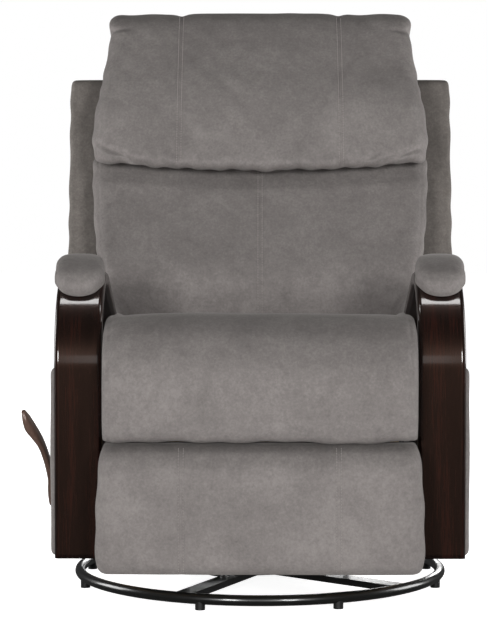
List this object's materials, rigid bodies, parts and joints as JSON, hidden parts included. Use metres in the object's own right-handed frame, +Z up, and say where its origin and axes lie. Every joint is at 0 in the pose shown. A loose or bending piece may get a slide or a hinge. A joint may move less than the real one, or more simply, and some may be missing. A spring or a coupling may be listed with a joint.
{
  "type": "swivel glider recliner",
  "caption": "Padded recliner with bentwood arms, lever footrest and reclining back, gliding on hanging links above a turning round steel floor ring.",
  "frame": {"origin": "on the floor at the swivel axis", "axes": "+Z up along the swivel axis; the sitter faces -Y; +X to the viewer's right from the front"},
  "size_m": [0.8267, 0.9039, 1.1108],
  "materials": {
    "floor_steel": "satin black powder coat",
    "glide_plastic": "moulded black nylon",
    "bright_steel": "zinc plated",
    "mechanism_steel": "black stove enamel",
    "spring_steel": "oiled wire",
    "bentwood": "dark espresso gloss lacquer",
    "bolt_cap": "bronze painted",
    "lever_wood": "brown satin lacquer",
    "frame_timber": "planed, unfinished",
    "suede": "brushed microfibre suede"
  },
  "bodies": {
    "base": {"base_ring": "floor_steel", "base_cross_bars": "floor_steel", "hub_plate": "floor_steel", "floor_glides": "glide_plastic", "swivel_spindle": "bright_steel", "bearing_lower_race": "bright_steel", "bearing_balls": "bright_steel"},
    "swivel_frame": {"bearing_upper_race": "bright_steel", "swivel_plate": "mechanism_steel", "swivel_rails": "mechanism_steel", "swivel_frame_ties": "mechanism_steel", "glide_hangers": "mechanism_steel", "upper_glide_pins": "bright_steel"},
    "front_glide": {"front_glide_links": "mechanism_steel"},
    "rear_glide": {"rear_glide_links": "mechanism_steel"},
    "platform": {"glide_side_bars": "mechanism_steel", "lower_glide_pins": "bright_steel", "platform_cross_tubes": "mechanism_steel", "bentwood_arm_left": "bentwood", "bentwood_arm_right": "bentwood", "arm_pad_left": "suede", "arm_pad_right": "suede", "side_panel_left": "suede", "side_panel_right": "suede", "arm_bolt_caps": "bolt_cap", "base_side_rail_left": "frame_timber", "base_side_rail_right": "frame_timber", "base_cross_rails": "frame_timber", "slide_channels": "mechanism_steel"},
    "seat": {"seat_side_rails": "frame_timber", "seat_front_rail": "frame_timber", "seat_rear_rail": "frame_timber", "seat_springs": "spring_steel", "mechanism_plate_left": "mechanism_steel", "mechanism_plate_right": "mechanism_steel", "slide_runners": "mechanism_steel", "seat_cushion": "suede"},
    "drive_links": {"footrest_drive_links": "mechanism_steel", "footrest_drive_tube": "mechanism_steel", "drive_link_pins": "bright_steel"},
    "middle_links": {"footrest_middle_links": "mechanism_steel"},
    "front_links": {"footrest_front_links": "mechanism_steel", "front_link_pins": "bright_steel", "footrest_pins": "bright_steel"},
    "footrest": {"footrest_board": "frame_timber", "footrest_brackets": "mechanism_steel", "footrest_pad": "suede"},
    "back": {"back_posts": "frame_timber", "back_rails": "frame_timber", "back_hinge_plates": "mechanism_steel", "back_pivot_pins": "bright_steel", "outer_back_panel": "suede", "wing_left": "suede", "wing_right": "suede", "lumbar_cushion": "suede", "head_pillow": "suede"},
    "lever": {"lever_handle": "lever_wood", "lever_shaft": "mechanism_steel", "lever_screw": "bright_steel", "lever_crank": "mechanism_steel"}
  },
  "joints": [
    {"name": "swivel", "type": "hinge", "parent": "base", "child": "swivel_frame", "pos_m": [0, 0, 0.0411], "axis": [0, 0, 1], "continuous": true},
    {"name": "glide", "type": "hinge", "parent": "swivel_frame", "child": "front_glide", "pos_m": [0, -0.2, 0.235], "axis": [1, 0, 0], "range_deg": [-15, 15]},
    {"name": "glide_platform", "type": "hinge", "parent": "front_glide", "child": "platform", "pos_m": [0, -0.2, 0.115], "axis": [1, 0, 0], "range_deg": [-15.5, 15.5]},
    {"name": "glide_rear", "type": "hinge", "parent": "swivel_frame", "child": "rear_glide", "pos_m": [0, 0.03, 0.235], "axis": [1, 0, 0], "range_deg": [-15.5, 15.5]},
    {"name": "seat_slide", "type": "slide", "parent": "platform", "child": "seat", "axis": [0, -1, 0], "range_m": [0, 0.0505]},
    {"name": "recline", "type": "hinge", "parent": "seat", "child": "back", "pos_m": [0, 0.139, 0.292], "axis": [-1, 0, 0], "range_deg": [0, 38]},
    {"name": "footrest_drive", "type": "hinge", "parent": "seat", "child": "drive_links", "pos_m": [0, -0.215, 0.29], "axis": [-1, 0, 0], "range_deg": [0, 91.8]},
    {"name": "footrest_middle", "type": "hinge", "parent": "drive_links", "child": "middle_links", "pos_m": [0, -0.20506, 0.14033], "axis": [-1, 0, 0], "range_deg": [-151.9, 0]},
    {"name": "footrest_front", "type": "hinge", "parent": "middle_links", "child": "front_links", "pos_m": [0, -0.27505, 0.28975], "axis": [-1, 0, 0], "range_deg": [0, 136.1]},
    {"name": "footrest_tilt", "type": "hinge", "parent": "front_links", "child": "footrest", "pos_m": [0, -0.35005, 0.15984], "axis": [-1, 0, 0], "range_deg": [0, 10.2]},
    {"name": "lever_pull", "type": "hinge", "parent": "platform", "child": "lever", "pos_m": [0, -0.15, 0.184], "axis": [-1, 0, 0], "range_deg": [0, 55.2]}
  ],
  "couplings": [
    {"joint": "glide_platform", "follows": "glide", "ratio": -1},
    {"joint": "glide_rear", "follows": "glide", "ratio": 1},
    {"joint": "seat_slide", "follows": "recline", "m_per_rad": 0.075389},
    {"joint": "footrest_middle", "follows": "footrest_drive", "ratio": -1.6525},
    {"joint": "footrest_front", "follows": "footrest_drive", "ratio": 1.4804},
    {"joint": "footrest_tilt", "follows": "footrest_drive", "ratio": 0.10893},
    {"joint": "lever_pull", "follows": "footrest_drive", "ratio": 0.59913}
  ]
}
